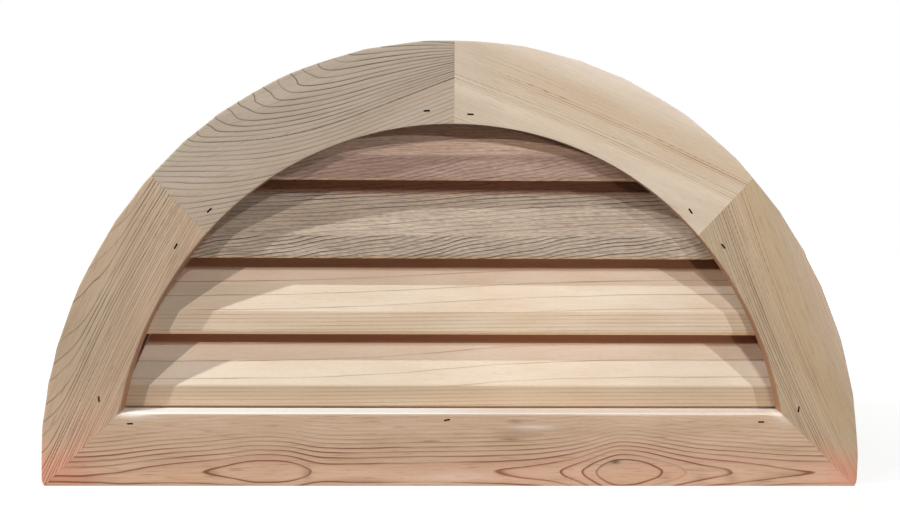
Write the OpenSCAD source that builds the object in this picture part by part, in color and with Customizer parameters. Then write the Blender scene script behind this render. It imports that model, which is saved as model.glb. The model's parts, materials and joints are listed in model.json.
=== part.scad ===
// Half-round gable vent in unfinished cedar: five mitred face boards, a jamb box
// let into their backs, four sloping louvres and an insect screen.
// X runs to the right seen from the front, Y into the wall and Z up. The face
// boards' backs lie on y = 0, flat against the wall, and the jamb box goes into it.

/* [Face boards] */
// Width over the side boards, at the foot of the arch
overall_w = 961; // [860:1:1060]
// Height from the sill's bottom edge to the top of the crown
overall_h = 510.5; // [470:0.5:540]
// Height of the sill board
sill_h = 89; // [70:1:110]
// Width of a side board
side_board_w = 85; // [70:1:100]
// Width of the crown boards at the top
crown_board_w = 90; // [75:1:105]
// Thickness of the face boards
face_t = 19; // [16:0.5:25]
// Angle of the cut between a side board and a crown board
upper_mitre = 48; // [44:0.5:52]
// Angle of the cut between the sill and a side board
corner_mitre = 44; // [40:0.5:48]
// How far below the sill's bottom edge the arch is widest
spring_drop = 9; // [0:0.5:20]

/* [Jamb box] */
// Thickness of the jambs
jamb_t = 19; // [12:0.5:25]
// How far the jambs' inner faces stand outside the face boards' inner edge
jamb_setback = 6; // [2:0.5:12]
// How far the box goes into the wall
box_depth = 63.5; // [50:0.5:90]
// Depth of the groove that takes the jambs in the backs of the face boards
groove_depth = 3; // [1:0.5:6]

/* [Louvres] */
// Height of the lowest louvre's crease over the sill's top edge
first_crease = 26.7; // [26:0.1:40]
// Height of the crown's inner edge over the top louvre's crease
last_crease = 35.7; // [25:0.1:50]
// Slope of the louvres from the level
louvre_slope = 60; // [50:1:65]
// Thickness of a louvre board
louvre_t = 16; // [12:0.5:18]
// Height that the eased arris takes off the bottom of each nose
arris_cut = 8.4; // [4:0.1:12]
// Angle of the eased arris from plumb
arris_angle = 27; // [15:1:45]
// How far the louvres stay in front of the screen
louvre_back_gap = 3.5; // [2:0.5:12]

/* [Insect screen] */
// Thickness of the woven wire
screen_t = 0.8; // [0.5:0.1:1.5]
// How far the screen's edge stays inside the box's outside
screen_margin = 4; // [2:0.5:12]
// Openings across the plain grid that stands for the screen's fine wire mesh
screen_columns = 10; // [6:2:12]
// Openings up that grid
screen_rows = 4; // [3:1:5]
// Width of the grid's bars
screen_bar = 8; // [5:0.5:10]

/* [Hidden] */
$fn = 96;

cedar_face = "#c9b089";
cedar_louvre = "#cdb091";
cedar_jamb = "#b98f68";
galvanised = "#9aa0a2";

half_w = overall_w / 2;                  // outer outline's half width at the spring line
rise = overall_h + spring_drop;          // outer outline's rise over the spring line
reach = overall_w;                       // longer than any board
tangent_angle = 43.5;                    // direction in which the side and crown arcs meet

// Insets of the outlines from the face boards' inner edge, outwards positive
jamb_inner = jamb_setback;
jamb_outer = jamb_setback + jamb_t;
jamb_sill_top = sill_h - jamb_setback;
jamb_sill_bottom = jamb_sill_top - jamb_t;

// The origin is on the wall face of the sill board, midway up its bare part
origin_up = jamb_sill_bottom / 2;

// A side arc and the crown arc of one outline, whose half width is a and rise is b
function arc_gap(a, b) = (b - a) / (cos(tangent_angle) + sin(tangent_angle) - 1);
function side_r(a, b) = a + arc_gap(a, b) * cos(tangent_angle);
function crown_r(a, b) = b - arc_gap(a, b) * sin(tangent_angle);
// Half width of such an outline at height z, along its side arc
function side_x(a, b, z) = a - side_r(a, b) + sqrt(pow(side_r(a, b), 2) - pow(z + spring_drop, 2));

// Half width and rise of the outline that lies out from the face boards' inner edge
function inner_w(out) = half_w - side_board_w + out;
function inner_rise(out) = rise - crown_board_w + out;

corner_x = side_x(inner_w(0), inner_rise(0), sill_h);     // inner corner of the sill
corner_foot_x = corner_x + sill_h / tan(corner_mitre);    // foot of the corner's cut
jamb_sill_half = side_x(inner_w(jamb_outer), inner_rise(jamb_outer), jamb_sill_top);

// The screen's openings, inside a rim that laps 1 mm past the jambs' inner faces
grid_out = jamb_inner - 1;
grid_foot = jamb_sill_top + 1;
grid_half = side_x(inner_w(grid_out), inner_rise(grid_out), grid_foot);
grid_step_x = 2 * grid_half / screen_columns;
grid_step_z = (inner_rise(grid_out) - spring_drop - grid_foot) / screen_rows;

// Louvre section: the nose is plumb and the board climbs backwards from the crease
nose_full = louvre_t / cos(louvre_slope);                 // nose height before its arris is eased
nose_h = nose_full - arris_cut;                           // height of its plumb face
arris_y = arris_cut / (tan(louvre_slope) + 1 / tan(arris_angle));
arris_z = arris_y * tan(louvre_slope) - nose_full;        // the arris's back edge, on the underside
louvre_end_y = box_depth - louvre_back_gap;               // furthest point of the board
climb = louvre_end_y - louvre_t * sin(louvre_slope);      // top face's run to the rear
louvre_count = 4;
louvre_pitch = (overall_h - crown_board_w - last_crease - sill_h - first_crease) / (louvre_count - 1);
creases = [for (i = [0:louvre_count - 1]) sill_h + first_crease + i * louvre_pitch];

module placed() {
    translate([0, 0, -origin_up]) children();
}

// Stands a flat shape up, with its faces at y0 and y1
module upright(y0, y1) {
    translate([0, y1, 0]) rotate([90, 0, 0]) linear_extrude(y1 - y0) children();
}

// Inside of the right side arc of an outline
module side_disc(a, b) {
    translate([a - side_r(a, b), -spring_drop]) circle(side_r(a, b));
}

// Inside of the crown arc of an outline
module crown_disc(a, b) {
    translate([0, b - crown_r(a, b) - spring_drop]) circle(crown_r(a, b));
}

// Everything left of the right side arc, from height low up to height high
module left_of_arc(a, b, low, high) {
    intersection() {
        union() {
            side_disc(a, b);
            translate([a - side_r(a, b) - 2 * reach, -reach]) square(2 * reach);
        }
        translate([-reach, low]) square([2 * reach, high - low]);
    }
}

// Inside of the outline that lies out from the face boards' inner edge, above height low
module inside_shape(out, low) {
    a = inner_w(out);
    b = inner_rise(out);
    meet = side_r(a, b) * sin(tangent_angle) - spring_drop;
    intersection() {
        left_of_arc(a, b, low, meet);
        mirror([1, 0]) left_of_arc(a, b, low, meet);
    }
    intersection() {
        crown_disc(a, b);
        translate([-reach, meet]) square([2 * reach, reach]);
    }
}

// Everything on the right and below the upper cut
module under_upper_mitre() {
    polygon([[0, -spring_drop], [reach, -spring_drop],
             [reach, reach * tan(upper_mitre) - spring_drop]]);
}

// Everything on the right and above the upper cut
module over_upper_mitre() {
    polygon([[0, -spring_drop], [reach, reach * tan(upper_mitre) - spring_drop],
             [reach, 2 * reach], [0, 2 * reach]]);
}

// Strip between two outlines, along the side arc
module side_strip(in, out) {
    intersection() {
        difference() {
            side_disc(inner_w(out), inner_rise(out));
            side_disc(inner_w(in), inner_rise(in));
        }
        under_upper_mitre();
    }
}

// Strip between two outlines, along the right half of the crown arc
module crown_strip(in_w, in_rise, out_w, out_rise) {
    intersection() {
        difference() {
            crown_disc(out_w, out_rise);
            crown_disc(in_w, in_rise);
        }
        over_upper_mitre();
    }
}

module sill_shape() {
    polygon([[-corner_foot_x, 0], [corner_foot_x, 0], [corner_x, sill_h], [-corner_x, sill_h]]);
}

module side_board_shape() {
    intersection() {
        difference() {
            side_disc(half_w, rise);
            side_disc(inner_w(0), inner_rise(0));
            sill_shape();
        }
        under_upper_mitre();
        square(reach);
    }
}

module jamb_side_shape() {
    intersection() {
        side_strip(jamb_inner, jamb_outer);
        translate([0, jamb_sill_top]) square(reach);
    }
}

module jamb_crown_shape() {
    crown_strip(inner_w(jamb_inner), inner_rise(jamb_inner), inner_w(jamb_outer), inner_rise(jamb_outer));
}

module jamb_sill_shape() {
    translate([-jamb_sill_half, jamb_sill_bottom]) square([2 * jamb_sill_half, jamb_t]);
}

// The face boards, each with the groove for the jambs in its back
module face_board(groove) {
    color(cedar_face) placed() difference() {
        upright(-face_t, 0) children();
        upright(-groove_depth, 1) jamb_sill_shape();
        if (groove == "side") upright(-groove_depth, 1) jamb_side_shape();
        if (groove == "crown") upright(-groove_depth, 1) jamb_crown_shape();
    }
}

module face_sill() {
    face_board("sill") sill_shape();
}

module face_right_side() {
    face_board("side") side_board_shape();
}

module face_left_side() {
    mirror([1, 0, 0]) face_right_side();
}

module face_upper_right() {
    face_board("crown") crown_strip(inner_w(0), inner_rise(0), half_w, rise);
}

module face_upper_left() {
    mirror([1, 0, 0]) face_upper_right();
}

// The jamb box
module jamb() {
    color(cedar_jamb) placed() upright(-groove_depth, box_depth) children();
}

module jamb_sill() {
    jamb() jamb_sill_shape();
}

module jamb_right_side() {
    jamb() jamb_side_shape();
}

module jamb_left_side() {
    mirror([1, 0, 0]) jamb_right_side();
}

module jamb_upper_right() {
    jamb() jamb_crown_shape();
}

module jamb_upper_left() {
    mirror([1, 0, 0]) jamb_upper_right();
}

// Section of a louvre, y across and z up, with the crease at its origin
module louvre_section() {
    polygon([[0, 0], [0, -nose_h], [arris_y, arris_z],
             [climb + louvre_t * sin(louvre_slope), climb * tan(louvre_slope) - louvre_t * cos(louvre_slope)],
             [climb, climb * tan(louvre_slope)]]);
}

// The louvre that stands at one place up the box, cut to the jambs' curve at its ends
module louvre(place) {
    color(cedar_louvre) placed() intersection() {
        translate([-half_w, 0, creases[place]]) rotate([90, 0, 90]) linear_extrude(overall_w) louvre_section();
        upright(-1, box_depth) inside_shape(jamb_inner, 0);
    }
}

module louvre_bottom() {
    louvre(0);
}

module louvre_lower() {
    louvre(1);
}

module louvre_upper() {
    louvre(2);
}

module louvre_top() {
    louvre(3);
}

// Rows of square-cornered openings, cut off where the arch cuts them
module screen_openings() {
    intersection() {
        inside_shape(grid_out, grid_foot);
        for (column = [0:screen_columns - 1], row = [0:screen_rows - 1]) {
            translate([column * grid_step_x - grid_half + screen_bar / 2,
                       row * grid_step_z + grid_foot + screen_bar / 2])
                square([grid_step_x - screen_bar, grid_step_z - screen_bar]);
        }
    }
}

// The screen lies on the back edges of the jambs
module insect_screen() {
    color(galvanised) placed() upright(box_depth, box_depth + screen_t) difference() {
        inside_shape(jamb_outer - screen_margin, jamb_sill_bottom + screen_margin);
        screen_openings();
    }
}

face_sill();
face_left_side();
face_upper_left();
face_upper_right();
face_right_side();
jamb_sill();
jamb_left_side();
jamb_upper_left();
jamb_upper_right();
jamb_right_side();
louvre_bottom();
louvre_lower();
louvre_upper();
louvre_top();
insect_screen();
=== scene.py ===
"""Half-round gable vent in unfinished western red cedar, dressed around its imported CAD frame.

Five mitred face boards, a jamb box behind them, four sloping louvres, welded wire cloth on
the back and the staples that hold it all. Lengths are named in millimetres and turned into
metres where a mesh is made. X runs right, Y into the wall and Z up.
"""

import json
import math

import bpy
import numpy as np
from mathutils import Matrix, Vector

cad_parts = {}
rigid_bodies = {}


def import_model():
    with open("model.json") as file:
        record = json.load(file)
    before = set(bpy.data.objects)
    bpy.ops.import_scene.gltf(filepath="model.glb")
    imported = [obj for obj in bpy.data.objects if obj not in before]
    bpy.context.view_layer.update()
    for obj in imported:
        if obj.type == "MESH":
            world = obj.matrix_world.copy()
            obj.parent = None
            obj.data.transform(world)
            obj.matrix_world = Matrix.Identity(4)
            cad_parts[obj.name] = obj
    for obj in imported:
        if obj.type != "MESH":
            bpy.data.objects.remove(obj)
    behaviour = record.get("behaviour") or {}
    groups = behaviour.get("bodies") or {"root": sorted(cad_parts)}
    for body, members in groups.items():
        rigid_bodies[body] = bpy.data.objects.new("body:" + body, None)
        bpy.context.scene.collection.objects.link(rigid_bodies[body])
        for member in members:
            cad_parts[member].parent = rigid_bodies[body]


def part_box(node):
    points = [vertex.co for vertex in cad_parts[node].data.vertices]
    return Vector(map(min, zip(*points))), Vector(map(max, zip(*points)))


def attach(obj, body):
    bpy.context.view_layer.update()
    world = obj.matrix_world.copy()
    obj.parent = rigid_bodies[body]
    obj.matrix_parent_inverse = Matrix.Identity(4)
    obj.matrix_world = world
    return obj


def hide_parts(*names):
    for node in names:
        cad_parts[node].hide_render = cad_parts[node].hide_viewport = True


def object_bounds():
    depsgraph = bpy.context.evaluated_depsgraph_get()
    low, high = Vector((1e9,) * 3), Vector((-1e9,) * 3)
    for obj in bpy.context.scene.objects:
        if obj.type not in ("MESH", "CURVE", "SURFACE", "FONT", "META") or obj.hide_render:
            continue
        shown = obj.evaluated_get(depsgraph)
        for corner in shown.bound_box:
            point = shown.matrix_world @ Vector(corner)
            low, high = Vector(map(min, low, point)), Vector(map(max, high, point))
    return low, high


for leftover in list(bpy.data.objects):
    bpy.data.objects.remove(leftover)
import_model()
cad_low, cad_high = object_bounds()

MM = 0.001
SMOOTH_UNDER = math.radians(32)  # edges sharper than this stay crisp


def span(node):
    """Lowest and highest corner of a CAD node, in millimetres."""
    low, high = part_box(node)
    return np.array(low) / MM, np.array(high) / MM


SILL_LOW, SILL_HIGH = span("face_sill")
JAMB_LOW, JAMB_HIGH = span("jamb_sill")
SCREEN_LOW, SCREEN_HIGH = span("insect_screen")
HALF_W = cad_high.x / MM  # half width over the side boards
BOTTOM = SILL_LOW[2]  # underside of the sill
SILL_TOP = SILL_HIGH[2]
FRONT = SILL_LOW[1]  # face of the boards
WALL = SILL_HIGH[1]  # backs of the boards, flat on the wall
BOX_BACK = JAMB_HIGH[1]  # rear edges of the jambs

SIDE_BOARD_W = 85.0
CROWN_BOARD_W = 90.0
SPRING = BOTTOM - 9.0  # the arch is widest here, below its own foot
TANGENT = math.radians(43.5)  # direction in which the side and crown arcs meet
UPPER_MITRE = math.radians(48.0)  # direction of the cut between side and crown boards
JAMB_IN, JAMB_OUT = 6.0, 25.0  # the jambs, out from the boards' inner edge
SCREEN_OUT = 21.0  # the wire cloth's edge, out from the same line
LOUVRE_SLOPE = math.radians(60.0)
JOINT_GAP = 0.04  # what each board stands short of its mitre
ARCH_RISE = cad_high.z / MM - SPRING  # from the spring line to the top of the boards


# ------------------------ outlines

def arcs(out):
    """The two arcs of the outline that lies `out` from the boards' inner edge.

    Returns centre x and radius of the side arc, then centre height over the spring line and
    radius of the crown arc. With half width a and rise b, the arcs meet smoothly in the
    direction t where gap = (b - a) / (cos t + sin t - 1), side radius = a + gap cos t and
    crown radius = b - gap sin t. The boards' outer edge, SIDE_BOARD_W out at the spring line,
    is CROWN_BOARD_W out at the top.
    """
    a = HALF_W - SIDE_BOARD_W + out
    b = ARCH_RISE - CROWN_BOARD_W + (CROWN_BOARD_W if out == SIDE_BOARD_W else out)
    gap = (b - a) / (math.cos(TANGENT) + math.sin(TANGENT) - 1)
    side, crown = a + gap * math.cos(TANGENT), b - gap * math.sin(TANGENT)
    return a - side, side, b - crown, crown


def half_width(out, z):
    """Half width of an outline at height z: sqrt(r^2 - height^2) off the arc that holds z."""
    side_x, side_r, crown_z, crown_r = arcs(out)
    up = np.asarray(z, float) - SPRING
    meet = side_r * math.sin(TANGENT)
    on_side = side_x + np.sqrt(np.maximum(side_r ** 2 - up ** 2, 0))
    on_crown = np.sqrt(np.maximum(crown_r ** 2 - (up - crown_z) ** 2, 0))
    return np.where(up < meet, on_side, on_crown)


def together(*parts):
    """Values brought to one shape and set side by side on a new last axis."""
    return np.stack(np.broadcast_arrays(*parts), -1)


def unit(rows):
    """Vectors scaled to length 1."""
    return rows / np.maximum(np.linalg.norm(rows, axis=-1, keepdims=True), 1e-6)


def along(out, angles):
    """Points (x, z) of an outline in given directions from the middle of the spring line.

    In direction t the side arc is hit at c cos t + sqrt(r^2 - c^2 sin^2 t) and the crown arc
    at c sin t + sqrt(r^2 - c^2 cos^2 t), c being the arc's own centre.
    """
    side_x, side_r, crown_z, crown_r = arcs(out)
    c, s = np.cos(angles), np.sin(angles)
    to_side = side_x * c + np.sqrt(side_r ** 2 - (side_x * s) ** 2)
    to_crown = crown_z * s + np.sqrt(crown_r ** 2 - (crown_z * c) ** 2)
    on_side = np.arctan2(to_side * s, to_side * c - side_x) < TANGENT
    reach = np.where(on_side, to_side, to_crown)
    return together(reach * c, SPRING + reach * s)


def run_along(path):
    """Length along a path, up to each of its points."""
    return np.concatenate([[0], np.cumsum(np.linalg.norm(np.diff(path, axis=0), axis=1))])


def sawn(path, flat, seed):
    """Bandsawn edge: flats about `flat` long round an arc, each a shallow inward parabola.

    With s the length along the path, the shift inwards is SAW_DEPTH (1 - (2 f - 1)^2), where f
    is the fractional part of s / flat, and s itself is shaken by two sines so that no two flats
    are the same length.
    """
    s = run_along(path) + 31 * seed
    s = s + 14 * np.sin(s / 53 + seed) + 9 * np.sin(s / 31 + 2 * seed)
    part = np.mod(s / flat, 1)
    inward = unit([0, SPRING + 40] - path)
    return path + inward * (SAW_DEPTH * (1 - (2 * part - 1) ** 2))[:, None]


# ------------------------ meshes

def swept(name, rings):
    """Solids from closed rings of points, shape (solids, sections, points round, 3), in mm.

    Quads join each section to the next, and the first and last are closed by one flat face
    each. The order round the rings is turned when it gives the first solid a negative volume:
    the sum of the triple products of its faces' corners is minus six times the volume.
    """
    solid = rings[0]
    ahead = np.roll(solid, -1, axis=1)
    triple = np.einsum("ijk,ijk->", solid[:-1], np.cross(ahead[:-1], solid[1:]))
    triple += np.einsum("ijk,ijk->", ahead[:-1], np.cross(ahead[1:], solid[1:]))
    triple += (solid[0, 0] * np.cross(ahead[0], solid[0])).sum()
    triple += (solid[-1, 0] * np.cross(solid[-1], ahead[-1])).sum()
    if triple > 0:
        rings = rings[:, :, ::-1]
    grid = np.arange(rings[..., 0].size).reshape(rings.shape[:3])
    after = np.roll(grid, -1, axis=2)
    quads = together(grid[:, :-1], grid[:, 1:], after[:, 1:], after[:, :-1]).reshape(-1, 4)
    faces = quads.tolist() + grid[:, 0].tolist() + grid[:, -1, ::-1].tolist()
    return new_piece(name, rings.reshape(-1, 3), faces)


def new_piece(name, points, faces):
    """A mesh object at the origin from points in millimetres and lists of corners."""
    mesh = bpy.data.meshes.new(name)
    mesh.from_pydata((np.asarray(points) * MM).tolist(), [], faces)
    mesh.validate()
    piece = bpy.data.objects.new(name, mesh)
    bpy.context.scene.collection.objects.link(piece)
    mesh.shade_smooth()
    mesh.set_sharp_from_angle(angle=SMOOTH_UNDER)
    return piece


def steps(low, high, pitch):
    """Evenly spaced values from low to high, close to `pitch` apart."""
    return np.linspace(low, high, max(2, int(round(abs(high - low) / pitch)) + 1))


# ------------------------ boards

CELL = 2.4  # size of a board's mesh cells, for its grain field
EDGE_CELL = 4.0  # the same down its edges
JAMB_CELL = 6.0  # the same along a jamb, whose figure is plain
ARRIS_STEPS = 5
SAW_DEPTH = 0.9  # of the flats that the bandsaw left on the outer edge
SIDE_FLAT, CROWN_FLAT = 66.0, 74.0  # how long these are
# lengths along the arch are made angles by these distances from the middle of the spring line
SIDE_REACH, CROWN_REACH, TOP_REACH, JAMB_REACH = 500.0, 480.0, 450.0, 430.0
CORNER_X = float(half_width(0, SILL_TOP))  # half width at the top of the sill's mitres
FOOT_X = SILL_HIGH[0]  # half width at their foot
HANDS = (("right", [1, 1]), ("left", [-1, 1]))


def board(name, inner, outer, front, back, inner_arris, outer_arris):
    """A flat board between two edges, its section carried from one end to the other.

    inner and outer are (n, 2) paths of (x, z) for the two long edges. A section runs from
    inner to outer: w is the distance from the inner edge and y the depth. It goes up the inner
    edge, round a quarter circle of the inner arris' radius, across the face, round the outer
    arris, down the outer edge and back along the rear. A radius that changes along the board
    is a column of numbers.
    """
    n = len(inner)
    width = np.linalg.norm(outer - inner, axis=1)[:, None]
    toward = (outer - inner) / width
    r_in, r_out = inner_arris + 0 * width, outer_arris + 0 * width
    turn = np.linspace(0, math.pi / 2, ARRIS_STEPS)[None]
    deep = steps(0, 1, EDGE_CELL / (back - front))[None, :-1]
    across = steps(0, 1, CELL / float(width.mean()))[None]
    edge_y = [back + (front + r - back) * deep for r in (r_in, r_out)]
    w = [np.zeros((n, deep.size)), r_in * (1 - np.cos(turn)),
         r_in + (width - r_in - r_out) * across[:, 1:-1],
         width - r_out * (1 - np.sin(turn)), np.repeat(width, deep.size, 1)]
    y = [edge_y[0], front + r_in * (1 - np.sin(turn)),
         np.full((n, across.size - 2), front),
         front + r_out * (1 - np.cos(turn)), edge_y[1][:, ::-1]]
    w, y = np.concatenate(w, 1), np.concatenate(y, 1)
    x = inner[:, :1] + toward[:, :1] * w
    z = inner[:, 1:] + toward[:, 1:] * w
    return swept(name, together(x, y, z)[None])


def side_paths(seed):
    """Inner and outer edge of the right side board, from the sill's mitre to the upper one.

    The outer edge starts at the mitre's foot, cuts across the toe and then follows the arch.
    The inner one turns through its angle in step with the outer one's length.
    """
    first = math.atan2(SILL_TOP - SPRING, CORNER_X)
    last = UPPER_MITRE - JOINT_GAP / SIDE_REACH
    toe = np.array([[FOOT_X + 0.1, BOTTOM], [FOOT_X + 1.9, BOTTOM + 3.6]])
    low = math.atan2(BOTTOM + 7.5 - SPRING, HALF_W)
    arch = along(SIDE_BOARD_W, steps(low, last, CELL / SIDE_REACH))
    outer = np.concatenate([toe, sawn(arch, SIDE_FLAT, seed)])
    run = run_along(outer)
    share = run / run[-1]
    inner = along(0, first + (last - first) * share)
    inner[:, 0] += JOINT_GAP * (1 - share)
    outer[:, 0] = np.minimum(outer[:, 0], HALF_W - 0.05)
    return inner, outer


def crown_paths(seed):
    """Inner and outer edge of the upper right board, from the upper mitre to the top."""
    angles = steps(UPPER_MITRE + JOINT_GAP / SIDE_REACH, math.pi / 2 - JOINT_GAP / TOP_REACH,
                   CELL / CROWN_REACH)
    return along(0, angles), sawn(along(SIDE_BOARD_W, angles), CROWN_FLAT, seed)


def sill_paths():
    """Upper and lower edge of the sill, between its two mitres."""
    share = steps(-1, 1, CELL / FOOT_X)
    return [together(share * (reach - JOINT_GAP), level)
            for reach, level in ((CORNER_X, SILL_TOP), (FOOT_X, BOTTOM))]


def sill_arris(x):
    """Radius of the sill's upper arris: 1 mm, rubbed down to more at its two ends."""
    return 1.0 + 5.4 * hump(x + 372, 26) + 4.4 * hump(x - 378, 16)


def face_boards():
    """The five face boards, named for where they sit."""
    upper, lower = sill_paths()
    made = {"face_sill": board("sill_board", upper, lower, FRONT, WALL,
                               sill_arris(upper[:, :1]), 0.9)}
    for (side, hand), seed in zip(HANDS, (1.0, 2.7)):
        inner, outer = side_paths(seed)
        rubbed = 0.7 + 2.2 * hump(inner[:, 1:] - SILL_TOP, 14)
        made[f"face_{side}_side"] = board(f"{side}_side_board", inner * hand, outer * hand,
                                          FRONT, WALL, rubbed, 1.1)
        inner, outer = crown_paths(seed + 0.6)
        made[f"face_upper_{side}"] = board(f"upper_{side}_board", inner * hand, outer * hand,
                                           FRONT, WALL, 0.6, 1.1)
    return made


def jamb_boards():
    """The five boards of the box, edge-on to the wall, let 3 mm into the face boards."""
    depths_and_arrises = (JAMB_LOW[1], JAMB_HIGH[1], 0.5, 0.5)
    x = steps(-JAMB_HIGH[0], JAMB_HIGH[0], JAMB_CELL)
    upper, lower = together(x, JAMB_HIGH[2]), together(x, JAMB_LOW[2])
    made = {"jamb_sill": board("sill_jamb", upper, lower, *depths_and_arrises)}
    joint = JOINT_GAP / JAMB_REACH
    share = steps(0, 1, JAMB_CELL / 330)
    crown = steps(UPPER_MITRE + joint, math.pi / 2 - joint, JAMB_CELL / JAMB_REACH)
    sides, crowns = [], []
    for out in (JAMB_IN, JAMB_OUT):
        foot = math.atan2(JAMB_HIGH[2] + 0.1 - SPRING, float(half_width(out, JAMB_HIGH[2])))
        sides.append(along(out, foot + (UPPER_MITRE - joint - foot) * share))
        crowns.append(along(out, crown))
    for side, hand in HANDS:
        for node, name, (inner, outer) in ((f"jamb_{side}_side", f"{side}_side_jamb", sides),
                                           (f"jamb_upper_{side}", f"upper_{side}_jamb", crowns)):
            made[node] = board(name, inner * hand, outer * hand, *depths_and_arrises)
    return made


# ------------------------ louvres

LOUVRE_PLACES = ("bottom", "lower", "upper", "top")
LOUVRE_T = 16.0
ARRIS_CUT = 8.4  # what the eased arris takes off the nose's foot
ARRIS_ANGLE = math.radians(27.0)  # from plumb
LOUVRE_FIT = 0.15  # what a louvre stands clear of the jambs' sides
LOUVRE_UNDER = 0.5  # and of their crown
LOUVRE_INSET = 3.5  # and of the box's rear edges
LOUVRE_SHORT = 4.0  # what its left end is cut short, so that a dark gap shows
CLIMB = math.tan(LOUVRE_SLOPE)  # rise of a louvre's faces for each millimetre inwards
PLUMB_T = LOUVRE_T / math.cos(LOUVRE_SLOPE)
ARRIS_IN = ARRIS_CUT / (CLIMB + 1 / math.tan(ARRIS_ANGLE))  # how far in the arris runs


def rounded(corners, radii):
    """A closed polygon with each corner turned into an arc of its own radius.

    Between unit vectors u and v to the neighbours, the arc starts r / tan(half angle) along u,
    ends as far along v and is drawn as four points of the quadratic curve that has the corner
    as its pole.
    """
    before = np.roll(corners, 1, axis=0) - corners
    after = np.roll(corners, -1, axis=0) - corners
    u, v = unit(before), unit(after)
    half = np.arccos(np.clip((u * v).sum(1), -1, 1)) / 2
    cut = (np.asarray(radii) / np.tan(half))[:, None]
    t = np.linspace(0, 1, 4)[None, :, None]
    start, pole, end = (corners + u * cut)[:, None], corners[:, None], (corners + v * cut)[:, None]
    return ((1 - t) ** 2 * start + 2 * t * (1 - t) * pole + t ** 2 * end).reshape(-1, 2)


def filled(ring):
    """A closed polygon with extra points about CELL apart along its sides."""
    return np.concatenate([
        a + (b - a) * steps(0, 1, CELL / max(np.linalg.norm(b - a), 1e-6))[:-1, None]
        for a, b in zip(ring, np.roll(ring, -1, axis=0))])


def louvre_section(crease, back, clear):
    """Section (y, z) of a louvre: plumb nose, eased arris below it, two sloping faces.

    The board is LOUVRE_T thick at LOUVRE_SLOPE, its nose cut plumb at the wall plane, and its
    rear end square, as far back as `back`. Its foot is cut off level, `clear` higher up.
    """
    heel = back - LOUVRE_T * math.sin(LOUVRE_SLOPE)
    foot = ARRIS_IN * CLIMB - PLUMB_T + clear
    corners = np.array([
        [0, 0], [0, ARRIS_CUT - PLUMB_T], [ARRIS_IN - clear * math.tan(ARRIS_ANGLE), foot],
        [ARRIS_IN + clear / CLIMB, foot],
        [back, heel * CLIMB - LOUVRE_T * math.cos(LOUVRE_SLOPE)], [heel, heel * CLIMB]])
    ring = rounded(corners, [0.9, 1.4, 0.25, 0.25, 0.5, 0.5])
    return filled(ring + [WALL, crease])


def clipped(ring, top):
    """The part of a closed polygon (y, z) under height `top`, cut off level."""
    after = np.roll(ring, -1, axis=0)
    t = (top - ring[:, 1]) / np.where(after[:, 1] == ring[:, 1], 1e-9, after[:, 1] - ring[:, 1])
    crosses = (ring[:, 1] < top) != (after[:, 1] < top)
    cuts = ring + (after - ring) * t[:, None]
    return np.stack([ring, cuts], 1)[np.stack([ring[:, 1] < top, crosses], 1)]


def louvre_crease(place):
    """Height at which a louvre's nose meets its upper face."""
    return span(f"louvre_{place}")[0][2] + PLUMB_T - ARRIS_IN * CLIMB


def louvre(place):
    """A louvre carried across the opening, its ends cut to the curve of the jambs."""
    section = louvre_section(louvre_crease(place), BOX_BACK - LOUVRE_INSET,
                             1.5 if place == "bottom" else 0.5)
    _, _, crown_z, crown_r = arcs(JAMB_IN)
    top = SPRING + crown_z + crown_r - LOUVRE_UNDER
    if section[:, 1].max() > top:
        section = filled(clipped(section, top))
    ends = half_width(JAMB_IN, section[:, 1]) - LOUVRE_FIT
    share = steps(-1, 1, CELL / ends.max())[:, None]
    x = share * (ends[None] - LOUVRE_SHORT * (share < 0))
    return swept(f"{place}_louvre", together(x, section[:, 0], section[:, 1])[None])


# ------------------------ wire and staples

WIRE_PITCH = 3.175  # eight wires to the inch
WIRE_D = 0.43
WIRE_SIDES = 6


def rods(name, start, end):
    """Many straight round wires at once, from (n, 3) start points to end points.

    Each ring is WIRE_D/2 (cos t e1 + sin t e2) round the end of its axis, e1 and e2 being two
    unit vectors square to the axis.
    """
    axis = unit(end - start)
    e1 = unit(np.cross(axis, [0, 1, 0]))
    e2 = np.cross(axis, e1)
    t = np.arange(WIRE_SIDES)[None, :, None] * 2 * math.pi / WIRE_SIDES
    ring = (np.cos(t) * e1[:, None] + np.sin(t) * e2[:, None]) * WIRE_D / 2
    return swept(name, np.stack([start[:, None] + ring, end[:, None] + ring], 1))


def wire_cloth():
    """Galvanised wire cloth: uprights on the jambs' rear edges, cross wires on top of them.

    Each upright ends at the arch, whose height there is read off a fine table of half widths.
    """
    foot, top = SCREEN_LOW[2], SCREEN_HIGH[2]
    count = math.floor(SCREEN_HIGH[0] / WIRE_PITCH)
    x = np.arange(-count, count + 1) * WIRE_PITCH
    levels = np.linspace(foot, top, 4000)
    widths = half_width(SCREEN_OUT, levels)
    widest = int(np.argmax(widths))
    head = np.interp(-np.abs(x), -widths[widest:], levels[widest:])
    depth = SCREEN_LOW[1] + WIRE_D / 2
    tall = head - foot > 2 * WIRE_PITCH
    x, head = x[tall], head[tall]
    uprights = rods("screen_upright_wires", together(x, depth, foot), together(x, depth, head))
    z = np.arange(foot + WIRE_PITCH / 2, top - 1, WIRE_PITCH)
    reach = half_width(SCREEN_OUT, z)
    depth = SCREEN_HIGH[1] - WIRE_D / 2
    left = together(-reach, depth, z)
    return uprights, rods("screen_cross_wires", left, left * [-1, 1, 1])


STAPLE_W = 7.6
STAPLE_T = 2.1
STAPLE_PROUD = 0.15  # of the boards' face
STAPLE_DEEP = 1.5  # behind it
STAPLE_EASE = 0.22  # depth of the crown's eased edge
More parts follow.
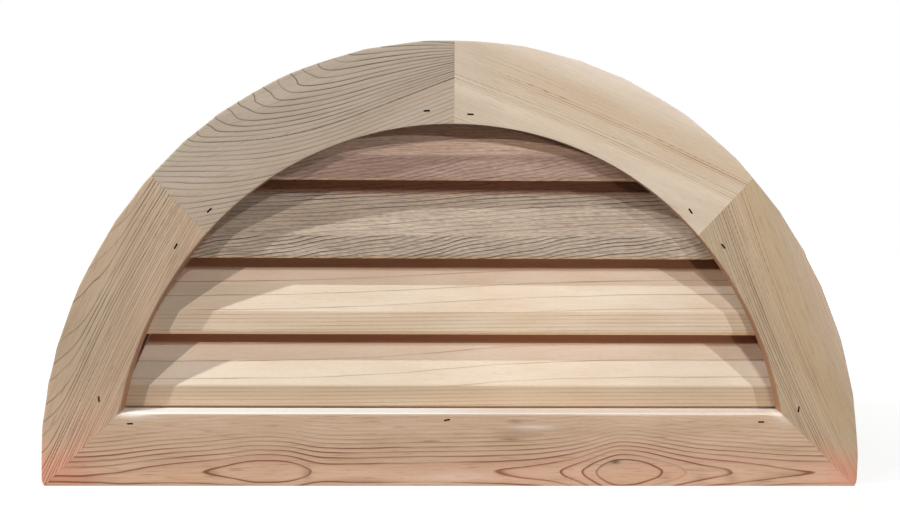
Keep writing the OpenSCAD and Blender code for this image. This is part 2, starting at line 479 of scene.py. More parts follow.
# where the face staples sit: x, height over the sill's foot, and turn from level in degrees
FACE_STAPLES = [(-30, 434.5, 3), (18, 431, -2), (-272, 324, 44), (-311, 283.5, 58),
                (266, 325.5, -54), (305, 286, -50), (-407, 105.5, 90), (404, 94.5, 88),
                (-373, 76, 0), (-6, 81, 12), (361, 79, 0)]


def face_staples():
    """Staple crowns: flat bars with round ends, as stadium outlines pushed from face to face.

    The outline is two half circles of radius STAPLE_T/2 whose centres stand
    (STAPLE_W - STAPLE_T)/2 either side of the middle, and its face is eased by a fifth of that
    radius, and by 0.25 mm more at the ends.
    """
    x, z, turn = np.array(FACE_STAPLES, float).T[:, :, None, None]
    t = np.linspace(-math.pi / 2, math.pi / 2, 6)
    end = STAPLE_T / 2 * together(np.cos(t), np.sin(t)) + [(STAPLE_W - STAPLE_T) / 2, 0]
    eased = end * [1, 0.8] - [0.25, 0]
    flat = np.stack([np.concatenate([half, -half]) for half in (end, end, eased)])
    y = np.array([STAPLE_DEEP, STAPLE_EASE - STAPLE_PROUD, -STAPLE_PROUD])[:, None] + FRONT
    turn = np.radians(turn)
    x = x + np.cos(turn) * flat[..., 0] - np.sin(turn) * flat[..., 1]
    z = BOTTOM + z + np.sin(turn) * flat[..., 0] + np.cos(turn) * flat[..., 1]
    return swept("face_staples", together(x, y, z))


# ------------------------ figure of the wood
# A figure gives, at points x, depth behind the face and z over the sill's foot, all in mm: the
# run along the grain and the ring count, then how strongly the rings show, how much lighter
# or darker the wood is there, how pink (above 0) or straw coloured (below 0), how much bleach
# and painted light it has, and how much of a dark knot (above 0) or of painted red shade
# (below 0) it is.


def bell(t, width):
    """A bump of height 1 with long tails: 1 / (1 + (t / width)^2)."""
    return 1 / (1 + (t / width) ** 2)


def hump(t, width):
    """A bump of height 1 with short tails: e to the minus (t / width)^2."""
    return np.exp(-(t / width) ** 2)


def spot(x, z, middle, level, long, tall):
    """An oval bump of height 1 at (middle, level): e to the minus (dx / long)^2 + (dz / tall)^2."""
    return np.exp(-((x - middle) / long) ** 2 - ((z - level) / tall) ** 2)


def rise(t, width):
    """A smooth step from 0 to 1 round t = 0: half of 1 + tanh(t / width)."""
    return (1 + np.tanh(t / width)) / 2


def larger(a, b, soft):
    """The larger of two fields, rounded where they cross: their mean plus the length of
    (half their difference, soft)."""
    return (a + b) / 2 + np.hypot((a - b) / 2, soft)


def unevenly(ring):
    """Rings of uneven width: the count plus two sines of itself, which never turn it back."""
    return ring + 0.22 * np.sin(1.9 * ring) + 0.06 * np.sin(4.3 * ring)


def upper_left_figure(x, depth, z):
    """Flat-sawn hooks along the sawn edge, whose arms run on to the top joint.

    Rings count down across the arms and leftwards across the hooks' ends, and the larger count
    holds. The arms climb 21 degrees and bend up on the left by a square of the distance, then
    evenly, and only half as much further down; they lie closer together near their foot.
    """
    over = z - 472 - 0.384 * x
    left = np.maximum(-100 - x, 0)
    bend = 0.00115 * np.minimum(left, 140) ** 2 + 0.32 * np.maximum(left - 140, 0)
    bend = bend * (0.5 + 0.5 * rise(over + 15, 25))
    above = np.maximum(over - bend, 0)
    gap = 2.6 + 4.1 * (1 - np.exp(np.minimum(x, 0) / 135))
    arms = np.maximum(bend - over, 0) / 4.6 - above / (gap * (0.8 + above / 300))
    u = x + 288
    tips = 402 + 0.56 * u - 0.00052 * u ** 2
    end = x + 0.6 * (z - tips) + 1.6 * np.sin(z / 2.9) + 288
    hooks = np.where(end < 0, -end / 8.5, -0.1 * np.abs(end) ** 0.935)
    ring = larger(arms, hooks, 0.42) - 0.42 + depth / 9
    quiet = hump(x + 60, 90) * rise(-over - 14, 8)
    strength = (0.6 + 1.1 * hump(ring, 0.3) + 0.35 * rise(-ring - 1, 0.5) - 0.12 * quiet
                - 0.1 * rise(x + 60, 40) * (1 - hump(ring, 0.5)))
    tone = (0.03 * rise(-x - 230, 40) - 0.04 * hump(over - bend - 18, 12) * rise(-x - 120, 40)
            + 0.06 * rise(x + 70, 40) * rise(-over - 5, 10))
    blush = 0.06 * rise(-over, 15) - 0.12 * spot(x, z, -5, 424, 26, 16.25)
    return x * 0.95 + z * 0.3, ring, strength, tone, blush, 0, 0


def left_side_figure(x, depth, z):
    """Straight rings that lean with the board, the outer ones turning out to the sawn edge.

    Rings count inwards across lines 63 degrees steep, which lean over more near the top, and
    across lines 38 degrees steep near the sawn edge, and the larger count holds.
    """
    up = z - 150
    inward = x - 0.5 * up - 0.0004 * np.maximum(up, 0) ** 2 + 437
    steep = inward / (4.5 - 0.9 * rise(inward - 25, 12))
    flat = 0.616 * x - 0.788 * z + 402.8
    flat = np.where(flat > 0, flat / 14.5, flat / 20)
    ring = unevenly(larger(steep, flat, 0.5) - 0.5 + depth / 8)
    strength = 1.0 - 0.5 * rise(inward - 22, 14) + 0.25 * rise(60 - z, 30)
    tone = (-0.05 * spot(x, z, -428, 205, 26, 65)
            - 0.05 * spot(x, z, -352, 312, 22, 22)
            + 0.03 * rise(inward - 45, 15) * rise(230 - z, 40)
            + 0.14 * rise(125 - z, 30) + 0.19 * rise(50 - z, 20))
    # the second and third terms are a painted reflection of a red surface: pinker towards the foot
    blush = (0.1 * rise(inward - 45, 14) + 0.9 * rise(44 - z, 20)
             + 0.22 * spot(x, z, -425, 78, 24, 33.6))
    return 0.45 * x + 0.89 * z, ring, strength, tone, blush, 0, 0


def upper_right_figure(x, depth, z):
    """Pale quarter-sawn wood: faint straight rings falling 22 to 27 degrees, in two bands."""
    across = z + 0.35 * x + 0.00019 * x ** 2 - 468
    ring = unevenly(across / 3.3 + depth / 7)
    strength = (0.08 + 0.7 * hump(across - 3, 6) + 1.1 * hump(across - 23, 3.5) * rise(x - 60, 30)
                + 0.4 * hump(across - 37, 4) * hump(x - 100, 70)
                + 0.35 * spot(x, z, 8, 424, 16, 16)
                + 0.3 * hump(across + 78, 12))
    tone = (0.075 * hump(across + 7, 6) - 0.06 * rise(50 - x, 20) + 0.045 * hump(across - 66, 16)
            - 0.045 * hump(across - 30, 22) * rise(x - 80, 50) - 0.02 * hump(across + 40, 20))
    blush = 0.08 * rise(across - 62, 12) - 0.30 * hump(across - 28, 22) * rise(x - 60, 50)
    bleach_and_painted_light = 0.35 * rise(across - 66, 10)
    return 0.92 * x - 0.39 * z, ring, strength, tone, blush, bleach_and_painted_light, 0


def right_side_figure(x, depth, z):
    """Fine straight grain falling 65 to 70 degrees, clear in the inner half, calm outside."""
    drop = 318 - z
    across = x - 0.40 * drop - 0.00025 * drop ** 2 - 297
    ring = unevenly(across / 3.4 + depth / 7)
    strength = (0.14 + 0.9 * hump(across - 7, 17) + 0.5 * hump(across - 38, 5)
                + 0.12 * rise(across - 60, 12))
    tone = (-0.05 * hump(across - 9, 12) * rise(z - 180, 60) - 0.03 * hump(across - 62, 18)
            + 0.03 * hump(across - 24, 7) + 0.07 * rise(110 - z, 30)
            + 0.08 * rise(50 - z, 20))
    # the second term is a painted reflection of a red surface: pinker at the foot of the outer edge
    blush = (0.2 * rise(across - 80, 9) + 1.1 * rise(40 - z, 24) * rise(x - 414, 18)
             - 0.25 * hump(across - 45, 20))
    bleach_and_painted_light = 0.15 * rise(across - 78, 12) * rise(z - 90, 40)
    return 0.42 * x - 0.9 * z, ring, strength, tone, blush, bleach_and_painted_light, 0


KNOT, BLIND_KNOT = 200, -225  # where the sill's knot and its blind knot are
SILL_STAINS = (
    # middle and height of a brown pitch stain, its half length and half height, how dark it is
    (-418, 9, 28, 4, 0.16), (-385, 18, 24, 3, 0.18), (-280, 16, 8, 6, 0.26),
    (-170, 17, 6, 9, 0.28), (-226, 4.5, 34, 2.4, 0.24), (-105, 7, 38, 3.2, 0.28),
    (252, 12, 6, 6, 0.18), (293, 9, 7, 6, 0.24), (330, 10, 8, 6, 0.26),
    (398, 15, 24, 3, 0.3), (366, 6, 16, 3.6, 0.3), (298, 20, 22, 2.2, 0.16))


def sill_figure(x, depth, z):
    """Level rings over a pith line low in the board, swollen round a knot and a blind one.

    With u the height over the pith line, the count is the length of (u, 18) over the ring
    width, plus a shift along the board: bells that sink it round the knot, longer to the
    right, and round the blind knot, and a slow rise to the left end.
    """
    pith = 17 - 10 * rise(-x - 385, 50)
    u = z - pith - 1.2 * np.sin(x / 41 + 1) * rise(-x - 60, 60)
    right = 76 + 9 * hump(x - 335, 30) - 9 * rise(x - 385, 18)
    knot = 4.82 * bell(x - KNOT, np.where(x < KNOT, 46, right))
    blind = 1.35 * np.where(x < BLIND_KNOT, bell(x - BLIND_KNOT, 39),
                            hump((x - BLIND_KNOT) ** 2, 54.5 ** 2))
    shift = 0.66 - (knot + blind) / (1 + (u / 120) ** 2) + 0.6 * rise(-x - 375, 45)
    ring = np.hypot(u, 18) / 4.8 + shift + depth / 11 * rise(u, 6)
    calm = spot(x, z, BLIND_KNOT - 1, 18, 40, 12)
    core = rise(0.55 - ring, 0.12)
    strength = ((1.25 - 0.62 * rise(z - 62 - 4 * bell(x - KNOT, 60), 5)) * (1 - core)
                * (1 - rise(3.6 - ring, 0.1) * calm)
                - 0.3 * rise(ring - 5.4, 0.2) * rise(z - 47, 6))
    strength = strength - 0.5 * hump(ring - 6, 0.5) * rise(-x - 330, 30)
    strength = strength * (1.0 - 0.5 * rise(z - 48, 12))
    # the last term is painted light: the sill's top strip lighter right of the middle
    tone = (0.14 * rise(24 - z, 4) + 0.04 * rise(5.2 - ring, 0.5) * rise(16 - z, 6)
            + 0.12 * rise(z - 86.6, 0.6) * rise(x - 90, 90))
    for middle, level, long, tall, dark in SILL_STAINS:
        tone = tone - dark * spot(x, z, middle, level, long, tall)
    # the second, fourth and fifth terms are a painted reflection of a red surface: pinker low down
    # and most at the two bottom corners
    blush = (0.16 * rise(5.0 - ring, 0.4) + 0.12 * rise(46 - z, 8)
             + 0.25 * spot(x, z, 40, 9, 42, 6)
             + 0.6 * rise(-x - 425, 22) * rise(46 - z, 14)
             + 0.4 * rise(x - 445, 14) * rise(34 - z, 14))
    # painted light: the sill's top face and upper arris near white, less so to the right, with
    # painted highlights at the rubbed left end and at the right end's corner; the last two spots
    # are paler patches lower down
    bleach_and_painted_light = (0.97 * rise(z - 88.0, 0.4) * (1 - 0.42 * rise(x - 15, 40))
              + 0.45 * hump(x + 366, 26) * rise(z - 82, 2)
              + 0.3 * hump(x + z - 469, 7) * rise(z - 78, 3)
              + 0.5 * spot(x, z, 97, 72.5, 24, 2.2)
              + 0.25 * spot(x, z, 10, 11, 45, 5))
    knot = (0.85 * spot(x - 0.5 * (z - 30), z, 192, 30, 5.5, 2.5)
            + 0.45 * spot(x, z, 68, 57.5, 13, 1.5)
            + 0.4 * spot(x, z, 74, 79, 10, 2.2)
            + 0.15 * spot(x, z, 70, 64, 22, 5))
    return x, ring, strength, tone, blush, bleach_and_painted_light, knot


LOUVRE_SHADE = 33  # how far up a slope the louvre above begins to shade it
LOUVRE_PAINTED_SHADE = 53  # and how far up no sun reaches it, so that shade is painted in above it


def louvre_figure(place, slope_ring, nose_ring, line, strengths, tones, blushes,
                  nose_line=None, glow=0.0, arris_painted_shading=0.45, shade_red=0.8, shade_tone=-0.02):
    """Figure of a louvre, whose plumb nose meets its slope at a crease.

    t is the way up the slope from the crease and n the depth under it, so that on the nose t
    falls and n grows together. Rings are slope_ring wide on the slope and nose_ring on the
    nose, and line(x, t) is where one of them runs. A rough nose has its own nose_line(x), torn
    off from the slope's lines at the crease. The rings' strengths, the tones and the blushes
    are those of the nose, of the slope and of the slope above LOUVRE_SHADE, this last set being
    painted colour for the shade that the louvre above casts there. Above LOUVRE_PAINTED_SHADE
    and underneath, shade is painted in as dark red wood by a share of shade_red, with
    shade_tone for its tone, and the rings show half as strongly there. glow is a painted pool
    of light right of the middle, darker again further right. arris_painted_shading paints light
    on the arris under the nose when above 0, and shade when below 0.
    """
    crease = louvre_crease(place) - BOTTOM
    up, out = math.sin(LOUVRE_SLOPE), math.cos(LOUVRE_SLOPE)
    under = (1 / nose_ring - up / slope_ring) / out

    def figure(x, depth, z):
        y = depth + FRONT - WALL
        t = (z - crease) * up + y * out
        n = y * up - (z - crease) * out
        ring = (t - line(x, t)) / slope_ring - n * under
        # above LOUVRE_SHADE, where the louvre above casts its shade, the slope takes its third set
        # of colours, painted for that shade
        nose, high = rise(0.5 - t, 0.3), rise(t - LOUVRE_SHADE, 1.5)

        def varied(values):
            return values[0] * nose + (1 - nose) * (values[1] + (values[2] - values[1]) * high)

        shows = varied(strengths)
        if nose_line:
            shows = shows * (1 - 0.9 * hump(t - 0.3, 0.9))
            ring = np.where(t < 0.3, (z - crease - nose_line(x)) / nose_ring, ring)
        # painted shade: high on the slope and on the underside the wood is darkened and reddened
        # and its rings fade
        painted_shade = np.maximum(rise(t - LOUVRE_PAINTED_SHADE, 1.5),
                               rise(n - 13.2, 0.6) * rise(y - 2.4, 0.5))
        # painted light on the arris under the nose: lighter and less pink; a negative share, as on
        # the bottom louvre, paints a dark line of shade there
        arris = rise(crease - 24 - z, 0.5) * rise(2.5 - y, 0.3)
        tone = varied(tones) * (1 - painted_shade) + shade_tone * painted_shade + arris_painted_shading * arris
        # painted pool of light: paler right of the middle, darker towards the right end
        tone = tone + glow * (hump(x - 95, 120) - 0.5 * rise(x - 240, 30))
        blush = varied(blushes) * (1 - painted_shade) - 0.4 * arris
        return x, ring, shows * (1 - 0.5 * painted_shade), tone, blush, 0, -shade_red * painted_shade
    return figure


def jamb_figure(x, depth, z):
    """Plain grain that follows the bent board, its rings spread over the depth."""
    run = 420 * np.arctan2(z, x)
    return run, depth / 5.5 + 0.5 * np.sin(run / 90), 0.35, -0.22, 0.35, 0, 0


NUDGE = 0.25  # step either way over which a figure's slopes are taken
LEAN = 0.6  # how much of the depth counts as way across the grain


def lay_grain(piece, figure, edge=0.0):
    """Works a figure out at a piece's vertices and keeps it in three attributes.

    grain holds run, ring count and the way across, which is the ring count's own direction on
    the face plus LEAN times the depth; late holds the pitch, which is the width of a ring on
    the surface, 1 / |g - (g . n) n| with g the ring count's gradient and n the normal, the
    rings' strength and the knot, whose negative values are painted red shade; tint holds tone,
    blush and bleach_and_painted_light. On the edge of a board that looks into the opening,
    behind its arris, `edge` tells how strongly painted shade darkens and reddens the wood.
    """
    mesh = piece.data
    place = np.empty(len(mesh.vertices) * 3, np.float32)
    normal = np.empty_like(place)
    mesh.vertices.foreach_get("co", place)
    mesh.vertices.foreach_get("normal", normal)
    place = place.reshape(-1, 3).astype(float) / MM - [0, FRONT, BOTTOM]
    normal = normal.reshape(-1, 3).astype(float)
    run, ring, strength, tone, blush, bleach_and_painted_light, knot = figure(*place.T)
    inward = -(normal[:, 0] * place[:, 0] + normal[:, 2] * (place[:, 2] - 150))
    # painted shade on the boards' inner edges, which face into the shaded opening: darker and
    # redder
    painted_reveal_shade = rise(place[:, 1] - 1.7, 0.4) * rise(inward - 60, 20)
    tone = tone - 0.25 * edge * painted_reveal_shade
    knot = knot - edge * painted_reveal_shade
    ahead, slopes = np.stack([
        (np.stack(figure(*(place + step).T)[:2]) - figure(*(place - step).T)[:2]) / (2 * NUDGE)
        for step in NUDGE * np.eye(3)], -1)
    ahead = unit(ahead)
    slopes -= (slopes * normal).sum(1, keepdims=True) * normal
    pitch = 1 / np.maximum(np.linalg.norm(slopes, axis=1), 0.02)
    across = ahead[:, 0] * place[:, 2] - ahead[:, 2] * place[:, 0] + LEAN * place[:, 1]
    for name, parts in (("grain", (run, ring, across)), ("late", (pitch, strength, knot)),
                        ("tint", (tone, blush, bleach_and_painted_light))):
        mesh.attributes.new(name, "FLOAT_VECTOR", "POINT").data.foreach_set(
            "vector", together(*parts).astype(np.float32).ravel())


# ------------------------ materials

def hex_linear(text):
    """An sRGB hex colour as linear red, green and blue with full alpha."""
    srgb = [int(text[i:i + 2], 16) / 255 for i in (0, 2, 4)]
    return tuple(c / 12.92 if c <= 0.04045 else ((c + 0.055) / 1.055) ** 2.4 for c in srgb) + (1,)


def fill_in(tree, node, inputs):
    """Sets or links a node's inputs: a list in the sockets' order, or a dict by their names."""
    for key, value in inputs.items() if isinstance(inputs, dict) else enumerate(inputs):
        if isinstance(value, bpy.types.NodeSocket):
            tree.links.new(value, node.inputs[key])
        else:
            node.inputs[key].default_value = value


def add(tree, kind, inputs=(), out=0, stops=(), **settings):
    """Adds a node with its settings and inputs, and returns one of its outputs.

    stops are the (place, grey or colour) elements of a colour ramp.
    """
    node = tree.nodes.new("ShaderNode" + kind)
    for key, value in settings.items():
        setattr(node, key, value)
    fill_in(tree, node, inputs)
    for index, (place, value) in enumerate(stops):
        ramp = node.color_ramp.elements
        element = ramp[index] if index < len(ramp) else ramp.new(place)
        element.position = place
        element.color = value if isinstance(value, tuple) else (value, value, value, 1)
    return node.outputs[out]


def new_material(name):
    """An empty material, its node tree and its shader."""
    material = bpy.data.materials.new(name)
    material.use_nodes = True
    return material, material.node_tree, material.node_tree.nodes["Principled BSDF"]


# noises that mark cedar: length along the grain, step from ring to ring, width across it (both
# lengths in millimetres, width 0 for none) and detail
CEDAR_NOISES = (
    ("stray", 70.0, 0.0, 13.0, 1.0),     # how far a ring strays from its place
    ("uneven", 110.0, 1.7, 0.0, 2.0),    # how strongly each ring shows along its run
    ("streak", 46.0, 0.0, 1.1, 3.0),     # fibre bundles; real ones are 0.3 mm, too fine to show
    ("dash", 38.0, 0.0, 1.7, 1.0),       # broken dark lines left where the cutter lifted fibres
    ("fleck", 9.0, 0.0, 0.8, 1.0),       # short pores between the fibres
    ("blotch", 120.0, 0.0, 26.0, 1.0),   # slow changes of colour along a board
)


def cedar(name, pale, deep, late, half_line, wander, fibre, dashes, torn=0.0, spread=0.0):
    """Western red cedar, sawn or planed and left bare.

    It shows thin reddish-brown latewood lines, each shading in from one side and ending
    sharply on the other, silky streaks and broken dark dashes along the grain, and slow
    blotches from straw to pink. half_line is half the width of a line, wander how far lines
    stray in rings, fibre and dashes how strongly streaks and dashes show, torn how much a
    rough-sawn face is furred and scored, and spread how much wider a line is for each
    millimetre between rings.
    """
    material, tree, shader = new_material(name)
    part = {attribute: add(tree, "Attribute", out="Vector", attribute_name=attribute)
            for attribute in ("grain", "late", "tint")}
    for attribute, index, key in (("grain", 1, "ring"), ("late", 0, "pitch"),
                                  ("late", 1, "strength"), ("late", 2, "knot"),
                                  ("tint", 0, "tone"), ("tint", 1, "blush"),
                                  ("tint", 2, "bleach_and_painted_light")):
        part[key] = add(tree, "SeparateXYZ", [part[attribute]], out=index)
    noise = {}
    for key, long, per_ring, wide, detail in CEDAR_NOISES:
        at = add(tree, "VectorMath",
                 [part["grain"], (1 / long, per_ring, 1 / wide if wide else 0)],
                 operation="MULTIPLY")
        noise[key] = add(tree, "TexNoise", {"Vector": at, "Scale": 1.0, "Detail": detail,
                                            "Roughness": 0.55})

    # latewood line: signed distance to the nearest whole ring, in millimetres
    stray = add(tree, "MapRange", [noise["stray"], 0.25, 0.75, 0.5 - wander, 0.5 + wander])
    count = add(tree, "Math", [part["ring"], stray], operation="ADD")
    off = add(tree, "Math", [count], operation="FRACT")
    off = add(tree, "Math", [off, 0.5], operation="SUBTRACT")
    off = add(tree, "Math", [off, part["pitch"]], operation="MULTIPLY")
    wider = add(tree, "Math", [part["pitch"], spread, 1.0], operation="MULTIPLY_ADD")
    off = add(tree, "Math", [off, wider], operation="DIVIDE")
    off = add(tree, "MapRange", [off, -4 * half_line, 2 * half_line])
    line = add(tree, "ValToRGB", [off], stops=[(0.0, 0.0), (1.0, 0.0), (0.40, 0.16),
                                               (0.58, 0.85), (0.70, 1.0), (0.82, 0.0)])
    uneven = add(tree, "MapRange", [noise["uneven"], 0.32, 0.68, 0.25, 1.4])
    line = add(tree, "Math", [line, uneven], operation="MULTIPLY")
    line = add(tree, "Math", [line, part["strength"]], operation="MULTIPLY", use_clamp=True)
    dash = add(tree, "MapRange", [noise["dash"], 0.42, 0.27, 0.0, dashes])
    line = add(tree, "Math", [line, dash], operation="MAXIMUM")

    # body colour: blotches and streaks between a pale and a deeper wood, then what each place has
    streaky = add(tree, "MapRange", [noise["streak"], 0.3, 0.7, 0.0, fibre])
    blotchy = add(tree, "MapRange", [noise["blotch"], 0.3, 0.7, 0.0, 0.45])
    mixed = add(tree, "Math", [streaky, blotchy], operation="ADD")
    pink = add(tree, "Math", [part["blush"], 0.0], operation="MAXIMUM")
    straw = add(tree, "Math", [part["blush"], -1.0], operation="MULTIPLY", use_clamp=True)
    # a negative knot share paints shade: dark red wood where the louvres and the boards' inner
    # edges lie in shade
    shade_red = add(tree, "Math", [part["knot"], -1.0], operation="MULTIPLY", use_clamp=True)
    colour = hex_linear(pale)
    for share, tint in ((mixed, deep), (pink, "D59279"), (straw, "C9A67B"), (shade_red, "B57247"),
                        (line, late), (part["knot"], "2A1812"), (part["bleach_and_painted_light"], "FCF7F3")):
        colour = add(tree, "Mix", {0: share, 6: colour, 7: hex_linear(tint)}, out=2,
                     data_type="RGBA")
    pores = add(tree, "MapRange", [noise["fleck"], 0.30, 0.48 + 0.2 * torn, 0.92 - 0.35 * torn,
                                   1.0 + 0.25 * torn])
    bright = add(tree, "Math", [part["tone"], 1.0], operation="ADD")
    bright = add(tree, "Math", [bright, pores], operation="MULTIPLY")
    colour = add(tree, "VectorMath", {0: colour, "Scale": bright}, operation="SCALE")

    # relief: latewood stands proud after planing, fibres and pores lie under it
    height = add(tree, "Math", [noise["streak"], noise["fleck"]], operation="ADD")
    height = add(tree, "Math", [height, line], operation="ADD")
    relief = add(tree, "Bump", {"Strength": 0.5 + 0.5 * torn, "Height": height,
                                "Distance": (0.10 + 0.5 * torn) * MM})
    sheen = add(tree, "MapRange", [noise["streak"], 0.3, 0.7, 0.55, 0.71])
    fill_in(tree, shader, {"Base Color": colour, "Roughness": sheen, "Normal": relief,
                           "IOR": 1.5})
    return material


# sizes in metres of the staples' grime, of the zinc's clouds and specks and of the paper's tooth,
# drawn coarser than the real 0.3 mm so that it shows
GRIME, ZINC_CLOUD, ZINC_SPECK, PAPER_TOOTH = 1 / 900, 1 / 60, 1 / 700, 1 / 300
PAPER_GLOW, PAPER_NEAR, PAPER_FAR = 0.80, 0.55, 1.3
WHITE = (1, 1, 1, 1)


def blackened_steel():
    """Coated staple wire, blackened: near-black with a dull brownish gleam on its crown."""
    material, tree, shader = new_material("blackened_steel_wire")
    at = add(tree, "TexCoord", out="Object")
    grime = add(tree, "TexNoise", {"Vector": at, "Scale": 1 / GRIME, "Detail": 2.0})
    colour = add(tree, "ValToRGB", [grime],
                 stops=[(0.35, hex_linear("060302")), (0.7, hex_linear("120B08"))])
    dull = add(tree, "MapRange", [grime, 0.0, 1.0, 0.45, 0.7])
    fill_in(tree, shader, {"Base Color": colour, "Roughness": dull, "Specular IOR Level": 0.15})
    return material


def galvanised_wire():
    """Zinc-dipped wire: pale grey, a little cloudy, with a soft gleam and whiter runs of oxide."""
    material, tree, shader = new_material("galvanised_wire")
    at = add(tree, "TexCoord", out="Object")
    cloud = add(tree, "TexNoise", {"Vector": at, "Scale": 1 / ZINC_CLOUD, "Detail": 3.0})
    speck = add(tree, "TexNoise", {"Vector": at, "Scale": 1 / ZINC_SPECK, "Detail": 1.0})
    colour = add(tree, "ValToRGB", [cloud],
                 stops=[(0.35, hex_linear("A9ADAE")), (0.68, hex_linear("D3D5D3"))])
    dull = add(tree, "MapRange", [speck, 0.0, 1.0, 0.3, 0.55])
    relief = add(tree, "Bump", {"Strength": 0.4, "Distance": 0.04 * MM, "Height": speck})
    fill_in(tree, shader, {"Base Color": colour, "Roughness": dull, "Normal": relief,
                           "Metallic": 1.0})
    return material


def studio_paper():
    """Matt white studio paper: it lights up evenly, so that only a soft shadow marks it.

    For the eye alone it adds PAPER_GLOW of white to what lights it, and away from the middle,
    from PAPER_NEAR to PAPER_FAR metres, as much as makes it plain white.
    """
    material, tree, shader = new_material("matt_studio_paper")
    at = add(tree, "TexCoord", out="Object")
    tooth = add(tree, "TexNoise", {"Vector": at, "Scale": 1 / PAPER_TOOTH})
    colour = add(tree, "ValToRGB", [tooth],
                 stops=[(0.3, hex_linear("868583")), (0.7, hex_linear("8B8A88"))])
    seen = add(tree, "LightPath", out="Is Camera Ray")
    away = add(tree, "VectorMath", [at], out="Value", operation="LENGTH")
    glow = add(tree, "MapRange", [away, PAPER_NEAR, PAPER_FAR, PAPER_GLOW, 1.0])
    glow = add(tree, "Math", [seen, glow], operation="MULTIPLY")
    fill_in(tree, shader, {"Base Color": colour, "Roughness": 0.9, "Specular IOR Level": 0.0,
                           "Emission Strength": glow, "Emission Color": WHITE})
    return material


# ------------------------ assembly

def wave(level, rise_by, middle, length):
    """A line that climbs smoothly from level - rise_by to level + rise_by round `middle`."""
    return lambda x, t: level + rise_by * np.tanh((x - middle) / length)


def sawn_line(x, t):
    """A line on a rough slope: a gentle climb with two slow sines on it."""
    return 0.075 * x + 1.6 * np.sin(x / 71) + 0.6 * np.sin(x / 29 + t / 7)


def torn_line(x):
    """A line on a rough nose: a steeper climb, bent by three sines."""
    return 0.19 * x + 2.4 * np.sin(x / 58) + 1.2 * np.sin(x / 23 + 1) + 0.5 * np.sin(x / 9)


def faint_line(x, t):
    """A line on the top louvre's slope: almost level, with one sine on it."""
    return 0.03 * x + 1.1 * np.sin(x / 38 + t / 9)


FACE_CEDAR = {
    # node: figure, then what cedar() takes after the name
    "face_sill": (sill_figure, "E5C7B0", "C8A78A", "925A41", 0.66, 0.08, 0.6, 0.46, 0.0, 0.045),
    "face_left_side": (left_side_figure, "CDB59D", "B3987E", "604B3B", 0.5, 0.08, 0.45, 0.35),
    "face_right_side": (right_side_figure, "C4AE94", "AF967B", "775A43", 0.45, 0.08, 0.45, 0.3),
    "face_upper_left": (upper_left_figure, "BFAFA1", "A89682", "5F5043", 0.62, 0.08, 0.4, 0.28),
    "face_upper_right": (upper_right_figure, "DCCCBA", "CAB29D", "98683F", 0.42, 0.08, 0.4, 0.18),
}
LOUVRE_CEDAR = {
    "louvre_bottom": (
        louvre_figure("bottom", 21.0, 4.6, wave(21, 12, -10, 130), (0.5, 0.8, 0.8),
                      (-0.04, 0.05, 0.17), (-0.45, 0.0, 0.1), glow=0.1, arris_painted_shading=-0.6),
        "E1D1C0", "CFB7A0", "9B6752", 0.42, 0.03, 0.35, 0.1),
    "louvre_lower": (
        louvre_figure("lower", 17.5, 4.5, wave(29.5, 11.5, -10, 190), (0.5, 0.85, 0.85),
                      (0.12, 0.02, 0.1), (-0.2, 0.0, 0.12), glow=0.1, shade_red=0.72,
                      shade_tone=-0.12),
        "E0CFBE", "CBB298", "96644E", 0.42, 0.03, 0.35, 0.1),
    "louvre_upper": (
        louvre_figure("upper", 5.2, 4.4, sawn_line, (1.0, 0.5, 0.9), (-0.01, -0.11, -0.08),
                      (0.0, -0.05, 0.0), torn_line, shade_red=0.6, shade_tone=-0.32),
        "D5C2B0", "B29D8C", "54443B", 0.6, 0.09, 0.8, 0.5, 0.6),
    "louvre_top": (
        louvre_figure("top", 4.4, 4.2, faint_line, (0.6, 0.35, 0.3), (-0.14, 0.28, 0.28),
                      (0.12, -0.08, 0.0), torn_line),
        "C7AE9F", "A2877A", "5E3F38", 0.5, 0.08, 0.8, 0.35, 0.5),
}

face = face_boards()
jambs = jamb_boards()
slats = {f"louvre_{place}": louvre(place) for place in LOUVRE_PLACES}
wires = wire_cloth()
staples = face_staples()
for node_name, (figure, *wood) in FACE_CEDAR.items():
    # edge=0.6: how strongly painted shade lies on the boards' inner edges
    lay_grain(face[node_name], figure, edge=0.6)
    face[node_name].data.materials.append(cedar(node_name.replace("face", "planed_cedar"), *wood))
for node_name, (figure, *wood) in LOUVRE_CEDAR.items():
    lay_grain(slats[node_name], figure)
    slats[node_name].data.materials.append(cedar(f"cedar_{node_name}", *wood))
jamb_cedar = cedar("sawn_cedar_jamb", "B08566", "94694C", "5E3C2C", 0.75, 0.08, 0.6, 0.3, 0.2)
for piece in jambs.values():
    lay_grain(piece, jamb_figure)
    piece.data.materials.append(jamb_cedar)
for group, slot in ((face, "cedar_face"), (jambs, "cedar_jamb"), (slats, "cedar_louvre")):
    for node_name, piece in group.items():
        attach(piece, "root")
        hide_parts(node_name)
zinc = galvanised_wire()
for piece in wires:
    piece.data.materials.append(zinc)
    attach(piece, "root")
    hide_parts("insect_screen")
staples.data.materials.append(blackened_steel())
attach(staples, "root")

# ------------------------ stage, lamps, camera

CAMERA_AT = (-0.0162, -0.9594, 0.3788)
CAMERA_PITCH = math.radians(8.843)
CAMERA_YAW = math.radians(0.769)
CAMERA_ROLL = math.radians(0.328)
LENS, SENSOR = 33.73, 36
AMBIENT = 0.035  # how strongly the air itself lights the object
WARM_AIR = (1.0, 0.72, 0.5, 1)
FLOOR = 8.0  # metres from the middle to each side


def turned(angle, first, second):
    """Matrix that turns one axis towards another."""
    matrix = np.eye(3)
    matrix[first, first] = matrix[second, second] = math.cos(angle)
    matrix[second, first] = math.sin(angle)
    matrix[first, second] = -math.sin(angle)
    return matrix


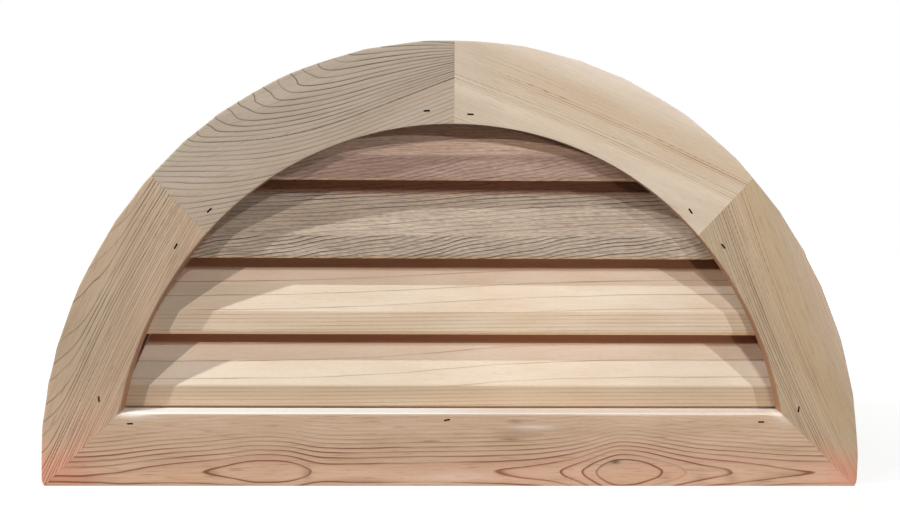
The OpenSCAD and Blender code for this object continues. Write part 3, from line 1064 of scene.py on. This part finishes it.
def aim_camera():
    """A camera that looks along +Y, pitched down, turned and rolled by small angles."""
    data = bpy.data.cameras.new("camera")
    data.lens, data.sensor_width = LENS, SENSOR
    camera = bpy.data.objects.new("camera", data)
    level = np.array([[1, 0, 0], [0, 0, -1], [0, 1, 0]])
    right, down, ahead = (turned(CAMERA_ROLL, 0, 1) @ turned(CAMERA_PITCH, 1, 2)
                          @ turned(CAMERA_YAW, 0, 2) @ level)
    camera.matrix_world = Matrix([*zip(right, -down, -ahead, CAMERA_AT), (0, 0, 0, 1)])
    bpy.context.scene.collection.objects.link(camera)
    bpy.context.scene.camera = camera


def lamp(name, place, watts, size, colour, target=(0.0, 0.0, 0.2)):
    """A square soft box at a place in metres, turned to its target and hidden from the camera."""
    data = bpy.data.lights.new(name, "AREA")
    data.energy, data.size, data.color = watts, size, colour
    light = bpy.data.objects.new(name, data)
    light.location = place
    light.rotation_mode = "QUATERNION"
    light.rotation_quaternion = (Vector(target) - Vector(place)).to_track_quat("-Z", "Y")
    light.visible_camera = False
    bpy.context.scene.collection.objects.link(light)


def studio_air():
    """Plain white all round for the eye, which lights the object only faintly and warmly."""
    world = bpy.data.worlds.new("studio")
    bpy.context.scene.world = world
    world.use_nodes = True
    tree = world.node_tree
    seen = add(tree, "LightPath", out="Is Camera Ray")
    strength = add(tree, "MapRange", [seen, 0.0, 1.0, AMBIENT, 1.0])
    colour = add(tree, "Mix", {0: seen, 6: WARM_AIR, 7: WHITE}, out=2, data_type="RGBA")
    fill_in(tree, tree.nodes["Background"], {"Color": colour, "Strength": strength})


def lay_floor():
    """A square of studio paper, level with the sill's foot."""
    mesh = bpy.data.meshes.new("floor")
    mesh.from_pydata([(x * FLOOR, y * FLOOR, BOTTOM * MM)
                      for x, y in ((-1, -1), (1, -1), (1, 1), (-1, 1))], [], [(0, 1, 2, 3)])
    mesh.materials.append(studio_paper())
    floor = bpy.data.objects.new("floor", mesh)
    bpy.context.scene.collection.objects.link(floor)


aim_camera()
lamp("high_left_lamp", (-1.268, -0.504, 1.414), 21.0, 0.03, (0.93, 1.0, 1.0), (-0.1, 0, 0.2))
lamp("far_left_lamp", (-2.171, -1.836, 1.368), 32.5, 0.05, (1.0, 0.92, 0.84))
lamp("right_lamp", (1.170, -0.843, 0.716), 6.6, 0.03, (0.9, 0.98, 1.0), (0.1, 0, 0.2))
lamp("low_right_lamp", (0.685, -0.871, 0.272), 1.4, 0.03, (1.0, 0.85, 0.7))
lamp("middle_lamp", (0.380, -1.374, 1.303), 7.0, 0.03, (0.97, 1.0, 0.98))
lamp("back_lamp", (0.9, 2.0, 0.45), 42.0, 1.0, (1.0, 0.98, 0.95))
studio_air()
lay_floor()
bpy.context.scene.view_settings.view_transform = "Standard"
